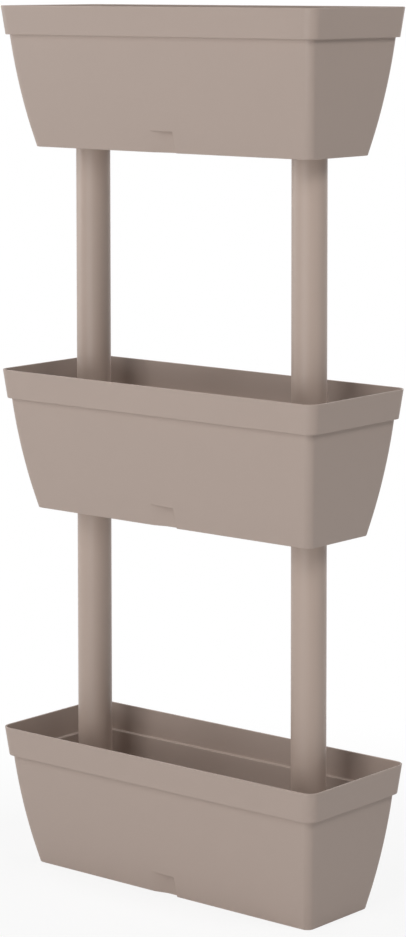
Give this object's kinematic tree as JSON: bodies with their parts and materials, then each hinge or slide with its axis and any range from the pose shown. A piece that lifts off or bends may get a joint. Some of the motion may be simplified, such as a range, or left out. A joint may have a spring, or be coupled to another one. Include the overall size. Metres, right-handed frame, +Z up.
{
  "type": "vertical planter tower",
  "caption": "Free-standing garden planter: deep rectangular troughs stacked one above the other on pairs of round tubes that plug into sleeves in the trough floors.",
  "frame": {"origin": "on the floor, at the middle of the lowest trough's footprint", "axes": "+Z up; X along the troughs, with the left tube at -X; the front is at -Y"},
  "size_m": [0.5838, 0.2184, 1.2687],
  "materials": {
    "trough_plastic": "satin moulded, grey taupe",
    "tube_plastic": "satin extruded, grey taupe",
    "cap_plastic": "satin moulded, grey taupe"
  },
  "bodies": {
    "lower_trough": {"lower_trough": "trough_plastic"},
    "middle_trough": {"middle_trough": "trough_plastic"},
    "upper_trough": {"upper_trough": "trough_plastic"},
    "lower_left_tube": {"lower_left_tube": "tube_plastic"},
    "lower_right_tube": {"lower_right_tube": "tube_plastic"},
    "upper_left_tube": {"upper_left_tube": "tube_plastic"},
    "upper_right_tube": {"upper_right_tube": "tube_plastic"},
    "left_socket_cap": {"left_socket_cap": "cap_plastic"},
    "right_socket_cap": {"right_socket_cap": "cap_plastic"}
  },
  "joints": [
    {"name": "lower_left_tube_lift", "type": "slide", "parent": "lower_trough", "child": "lower_left_tube", "axis": [0, 0, 1], "range_m": [0, 0.06]},
    {"name": "lower_right_tube_lift", "type": "slide", "parent": "lower_trough", "child": "lower_right_tube", "axis": [0, 0, 1], "range_m": [0, 0.06]},
    {"name": "middle_trough_lift", "type": "slide", "parent": "lower_left_tube", "child": "middle_trough", "axis": [0, 0, 1], "range_m": [0, 0.05]},
    {"name": "upper_left_tube_lift", "type": "slide", "parent": "middle_trough", "child": "upper_left_tube", "axis": [0, 0, 1], "range_m": [0, 0.06]},
    {"name": "upper_right_tube_lift", "type": "slide", "parent": "middle_trough", "child": "upper_right_tube", "axis": [0, 0, 1], "range_m": [0, 0.06]},
    {"name": "upper_trough_lift", "type": "slide", "parent": "upper_left_tube", "child": "upper_trough", "axis": [0, 0, 1], "range_m": [0, 0.05]},
    {"name": "left_socket_cap_pull", "type": "slide", "parent": "upper_trough", "child": "left_socket_cap", "axis": [0, 0, 1], "range_m": [0, 0.03]},
    {"name": "right_socket_cap_pull", "type": "slide", "parent": "upper_trough", "child": "right_socket_cap", "axis": [0, 0, 1], "range_m": [0, 0.03]}
  ],
  "couplings": [
    {"joint": "lower_right_tube_lift", "follows": "lower_left_tube_lift", "ratio": 1},
    {"joint": "upper_right_tube_lift", "follows": "upper_left_tube_lift", "ratio": 1}
  ]
}
